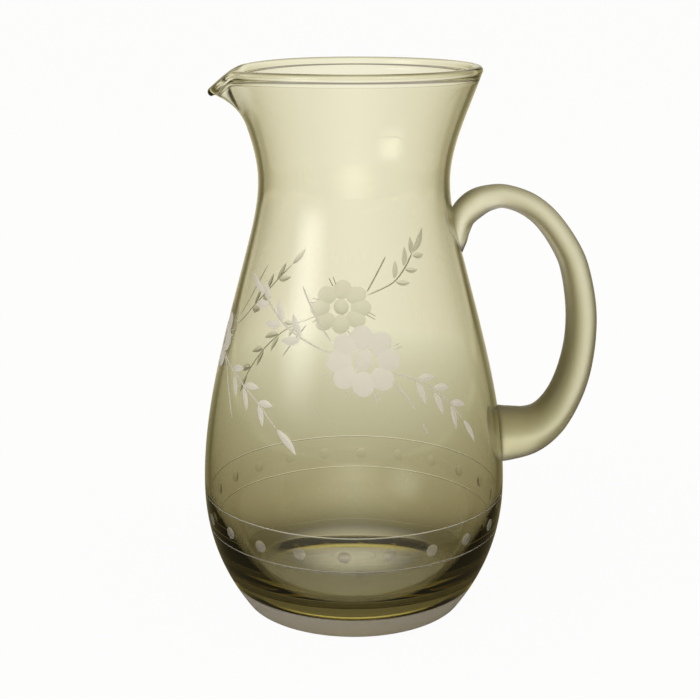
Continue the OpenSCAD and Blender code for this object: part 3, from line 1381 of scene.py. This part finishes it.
@dataclass
class RodHandle:
    """The applied handle: a thick rod of the same glass, laid on the neck and pressed to the belly."""

    outline: Outline
    finish: Glass
    # the rod's thickness and width halfway down, and how far off the axis its middle reaches
    thick: float = 13.8
    wide: float = 12.8
    reach: float = 97.95
    # the heights of its two seats
    top_z: float = 168.0
    low_z: float = 75.3
    # how deep the rod's ends sink into the wall, so that the two glasses read as one
    sink: float = 0.25
    # the mesh: points round the rod and steps between its stations
    around: int = 64
    steps: int = 8
    # the cutter that trims its ends: the heights between which it reaches, its rows, and the
    # degrees between its points
    trim_from: float = 40.0
    trim_to: float = 200.0
    trim_rows: int = 140
    trim_step: float = 1.25
    # each station's place between the wall and the handle's reach, its place between the seats'
    # heights, and its thickness and width as shares of the rod's
    neck_shares: tuple[tuple[float, float, float, float], ...] = (
        (0.040, 0.874, 0.16, 0.24),
        (0.028, 0.919, 0.50, 0.60),
        (0.026, 0.978, 0.70, 0.84),
        (0.057, 1.046, 0.84, 0.97),
        (0.148, 1.099, 0.89, 0.98),
        (0.259, 1.127, 0.79, 0.94),
        (0.387, 1.132, 0.72, 0.92),
        (0.567, 1.093, 0.74, 0.91),
        (0.725, 1.014, 0.77, 0.91),
        (0.876, 0.883, 0.83, 0.92),
        (0.949, 0.769, 0.89, 0.94),
        (0.998, 0.606, 0.96, 0.97),
    )
    belly_shares: tuple[tuple[float, float, float, float], ...] = (
        (0.997, 0.448, 1.00, 1.00),
        (0.922, 0.292, 1.08, 1.05),
        (0.788, 0.167, 1.16, 1.13),
        (0.599, 0.071, 1.33, 1.33),
        (0.357, 0.017, 1.58, 1.64),
        (0.073, 0.000, 1.76, 1.95),
        (-0.136, -0.001, 1.86, 2.10),
    )

    def stations(self) -> np.ndarray:
        """The rod's middle, thickness and width at each station.

        Returns:
            Rows of X, Z, thickness and width.
        """
        rows = []
        for shares, seat_z in ((self.neck_shares, self.top_z), (self.belly_shares, self.low_z)):
            wall_x = float(self.outline.radius(seat_z))
            rows += [
                (
                    wall_x + s[0] * (self.reach - wall_x),
                    self.low_z + s[1] * (self.top_z - self.low_z),
                    s[2] * self.thick,
                    s[3] * self.wide,
                )
                for s in shares
            ]
        return np.array(rows)

    def rod(self) -> np.ndarray:
        """The rod's skin.

        Returns:
            Points, as rows along the rod by points around it by three.
        """
        line = through(self.stations(), self.steps, run_on=False)
        way = np.gradient(line[:, :2], axis=0)
        way /= np.linalg.norm(way, axis=1, keepdims=True)
        angle = np.radians(np.arange(self.around) * 360 / self.around)[None, :]
        off = line[:, 2:3] / 2 * np.cos(angle)
        x = line[:, 0:1] - way[:, 1:2] * off
        z = line[:, 1:2] + way[:, 0:1] * off
        y = line[:, 3:4] / 2 * np.sin(angle)
        return np.stack([x, y, z], axis=-1)

    def body_side(self) -> bpy.types.Object:
        """The space inside the body's skin next to the handle, as a cutter.

        Returns:
            The cutter.
        """
        heights = np.linspace(self.trim_from, self.trim_to, self.trim_rows)
        turn = np.arange(0, 360, self.trim_step)
        rows = [self.outline.on_skin(turn, height, -self.sink) for height in heights]
        points = np.vstack([*rows, [[0, 0, heights[0]], [0, 0, heights[-1]]]])
        return make_object("body_side", points, capped_faces(len(heights), len(turn)))

    def build(self) -> bpy.types.Object:
        """Builds the handle and trims it to the body.

        Returns:
            The glass handle.
        """
        grid = self.rod()
        n, cols = grid.shape[:2]
        faces = [face[::-1] for face in grid_faces(n, cols)]
        faces += [list(range(cols)), list(range((n - 1) * cols, n * cols))[::-1]]
        points = grid.reshape(-1, 3)
        handle = make_object("handle_glass", points, faces)
        work = Workpiece(handle, points, -grid_normals(grid).reshape(-1, 3))
        work.carve(self.body_side())
        work.finish(self.finish.material(), np.zeros(len(handle.data.polygons)))
        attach(handle, "root")
        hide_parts(Node.HANDLE.value)
        return handle


@dataclass(frozen=True)
class Softbox:
    """A soft lamp with feathered edges."""

    name: str
    # its angles in degrees, seen from the place that it aims at, and its distance in metres
    azimuth: float
    elevation: float
    distance: float
    size: Point
    watts: float
    aim: tuple[float, float, float] = (0.0, 0.0, 0.12)
    # where its brightness starts to fall, as a share of the way from the middle to the edge
    feather: Point = (0.3, 0.6)
    colour: str = "FFFFFF"

    def hang(self) -> bpy.types.Object:
        """Hangs the lamp and turns it to its aim.

        Returns:
            The lamp.
        """
        lamp = bpy.data.lights.new(self.name, "AREA")
        lamp.shape = "RECTANGLE"
        lamp.size, lamp.size_y = self.size
        lamp.energy = self.watts
        lamp.color = linear(self.colour)[:3]
        self.soften(lamp)
        holder = bring_in(self.name, lamp)
        turn, rise = math.radians(self.azimuth), math.radians(self.elevation)
        aim = Vector(self.aim)
        way = Vector((math.cos(turn) * math.cos(rise), math.sin(turn) * math.cos(rise), math.sin(rise)))
        holder.location = aim + way * self.distance
        holder.rotation_euler = (-way).to_track_quat("-Z", "Y").to_euler()
        return holder

    def soften(self, lamp: bpy.types.AreaLight) -> None:
        """Lets the lamp's face fade towards its edges.

        Args:
            lamp: the lamp.
        """
        tree = blank_tree(lamp)
        face = add_node(tree, "ShaderNodeNewGeometry").outputs["Parametric"]
        split = add_node(tree, "ShaderNodeSeparateXYZ", {0: face}).outputs
        fades = {}
        for k, start in enumerate(self.feather):
            off = add_node(tree, "ShaderNodeMath", {0: split[k], 1: 0.5}, operation="SUBTRACT")
            apart = add_node(tree, "ShaderNodeMath", {0: off}, operation="ABSOLUTE")
            fades[k] = add_node(
                tree,
                "ShaderNodeMapRange",
                {"Value": apart, "From Min": 0.5 * start, "From Max": 0.5, "To Min": 1.0, "To Max": 0.0},
                interpolation_type="SMOOTHSTEP",
            )
        both = add_node(tree, "ShaderNodeMath", fades, operation="MULTIPLY")
        glow = add_node(tree, "ShaderNodeEmission", {"Strength": both})
        add_node(tree, "ShaderNodeOutputLight", {"Surface": glow})


@dataclass
class Studio:
    """The paper roll, the lamps, the room's dim light and the camera."""

    paper: Paper
    # the paper in metres: its half width, where it starts and bends up, the bend and its top
    half_width: float = 2.0
    front: float = -2.0
    bend_at: float = 1.6
    bend_r: float = 0.4
    top: float = 1.0
    # the paper's rows along the floor and round the bend
    flat_rows: int = 10
    bend_rows: int = 13
    # a hair under the foot, so that the glass isn't stuck to the paper
    floor_z: float = -0.00005
    # the room's light on matt things, and how bright the room looks in the glass
    room_colour: str = "FFF6E6"
    room: float = 0.75
    room_in_glass: float = 0.35
    lamps: tuple[Softbox, ...] = (
        Softbox("left_softbox", -140.0, 16.0, 0.9, (0.8, 0.55), 3.4, feather=(0.0, 0.05)),
        Softbox("top_softbox", 90.0, 65.0, 1.2, (1.0, 1.0), 1.5, (0.0, 0.35, 0.0), (0.0, 0.0)),
    )
    # where the camera stands, in metres, and how far it looks down, in degrees
    camera_at: tuple[float, float, float] = (-0.0017, -0.61724, 0.27892)
    camera_pitch: float = 15.024
    # focal length in pixels of the photograph, and the photograph's width
    focal: float = 1471.1
    picture_width: float = 700.0
    # the width of the sensor, in millimetres, and the nearest that the camera sees
    sensor_width: float = 36.0
    clip_start: float = 0.01

    def roll_out(self) -> bpy.types.Object:
        """Lays the paper under the object and bends it up behind.

        Returns:
            The paper.
        """
        curve = [(y, 0.0) for y in np.linspace(self.front, self.bend_at, self.flat_rows)]
        for angle in np.radians(np.linspace(0, 90, self.bend_rows))[1:]:
            curve.append((self.bend_at + self.bend_r * math.sin(angle), self.bend_r * (1 - math.cos(angle))))
        curve.append((self.bend_at + self.bend_r, self.top))
        points = np.array(
            [(x, y, z + self.floor_z) for y, z in curve for x in (-self.half_width, self.half_width)]
        )
        roll = make_object("paper_roll", points / MM, grid_faces(len(curve), 2, around=False))
        roll.data.flip_normals()
        roll.data.materials.append(self.paper.material())
        return roll

    def light(self) -> None:
        """Hangs the lamps and sets the room's light, white where the camera sees past the paper."""
        for lamp in self.lamps:
            lamp.hang()
        world = bpy.data.worlds.new("studio_room")
        bpy.context.scene.world = world
        tree = blank_tree(world)
        room, dark, white = (
            add_node(tree, "ShaderNodeBackground", {"Color": linear(colour), "Strength": strength})
            for colour, strength in (
                (self.room_colour, self.room),
                (self.room_colour, self.room_in_glass),
                ("FFFFFF", 1.0),
            )
        )
        mix = by_ray(tree, room, dark, white, 1.0)
        add_node(tree, "ShaderNodeOutputWorld", {"Surface": mix})

    def shoot(self) -> bpy.types.Object:
        """Sets the camera where the photograph was taken from.

        Returns:
            The camera.
        """
        lens = bpy.data.cameras.new("camera")
        lens.sensor_fit = "HORIZONTAL"
        lens.sensor_width = self.sensor_width
        lens.lens = self.focal / self.picture_width * lens.sensor_width
        lens.clip_start = self.clip_start
        camera = bring_in("camera", lens)
        camera.location = self.camera_at
        camera.rotation_euler = (math.radians(90 - self.camera_pitch), 0.0, 0.0)
        bpy.context.scene.camera = camera
        return camera


def main() -> None:
    """Builds the pitcher and its studio, in order, and reports each piece."""
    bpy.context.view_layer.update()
    bpy.context.scene.view_settings.view_transform = "Standard"
    outline = Outline()
    studio = Studio(Paper())
    LOG.info("camera: %s", studio.shoot().name)
    LOG.info("floor: %s", studio.roll_out().name)
    studio.light()
    body = GlassBody(outline, CutPattern(outline), Glass()).build()
    LOG.info("body: %s, %d faces", body.name, len(body.data.polygons))
    handle = RodHandle(outline, RodGlass()).build()
    LOG.info("handle: %s, %d faces", handle.name, len(handle.data.polygons))


if __name__ == "__main__":
    main()
